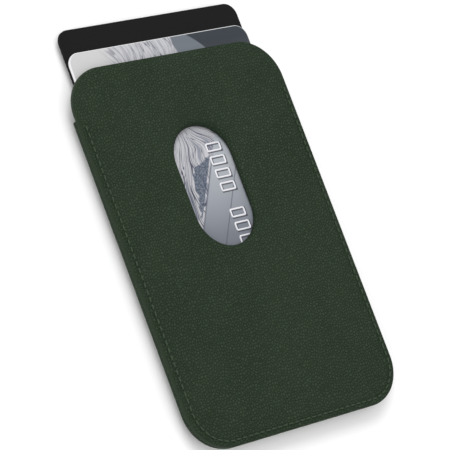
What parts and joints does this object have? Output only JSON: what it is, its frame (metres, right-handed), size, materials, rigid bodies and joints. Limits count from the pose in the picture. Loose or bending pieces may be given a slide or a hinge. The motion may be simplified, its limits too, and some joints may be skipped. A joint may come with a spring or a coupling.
{
  "type": "magnetic phone card wallet",
  "caption": "Slim leather card wallet with a thumb slot and a hidden magnet ring in its phone-side panel, holding bank-size cards that slide out of its open end.",
  "frame": {"origin": "centre of the cover's flat outer face, on which the wallet lies", "axes": "+Z out of the slotted, phone-side panel; +Y out of the pocket's mouth; +X across the width"},
  "size_m": [0.0628, 0.1041, 0.0046],
  "materials": {
    "leather": "dark green fine pebble grain, satin",
    "edge_paint": "satin edge paint, darker than the leather",
    "lining": "microfibre suede",
    "board": "bonded leather board",
    "shield_steel": "cold-rolled sheet",
    "magnet": "nickel-plated neodymium",
    "thread": "bonded polyester thread, a shade lighter than the leather",
    "gray_card": "silver gray printed card with engraved lines",
    "black_card": "plain matte black card",
    "chip": "gold-plated contacts",
    "stripe": "magnetic tape"
  },
  "bodies": {
    "holder": {"panel_leather": "leather", "panel_edge_paint": "edge_paint", "panel_lining": "lining", "magnet_carrier_board": "board", "shield_plate": "shield_steel", "ring_magnet_01": "magnet", "ring_magnet_02": "magnet", "ring_magnet_03": "magnet", "ring_magnet_04": "magnet", "ring_magnet_05": "magnet", "ring_magnet_06": "magnet", "ring_magnet_07": "magnet", "ring_magnet_08": "magnet", "ring_magnet_09": "magnet", "ring_magnet_10": "magnet", "ring_magnet_11": "magnet", "ring_magnet_12": "magnet", "ring_magnet_13": "magnet", "ring_magnet_14": "magnet", "ring_magnet_15": "magnet", "ring_magnet_16": "magnet", "alignment_magnet_upper": "magnet", "alignment_magnet_lower": "magnet", "needle_thread": "thread", "cover_leather": "leather", "rim_core": "board", "cover_board": "board", "cover_lining": "lining", "bobbin_thread": "thread"},
    "gray_card": {"gray_card_body": "gray_card", "gray_card_chip_plate": "chip", "gray_card_magnetic_stripe": "stripe"},
    "black_card": {"black_card_body": "black_card"}
  },
  "joints": [
    {"name": "gray_card_slide", "type": "slide", "parent": "holder", "child": "gray_card", "axis": [0, 1, 0], "range_m": [-0.0083, 0.083]},
    {"name": "black_card_slide", "type": "slide", "parent": "holder", "child": "black_card", "axis": [0, 1, 0], "range_m": [-0.0144, 0.077]}
  ]
}
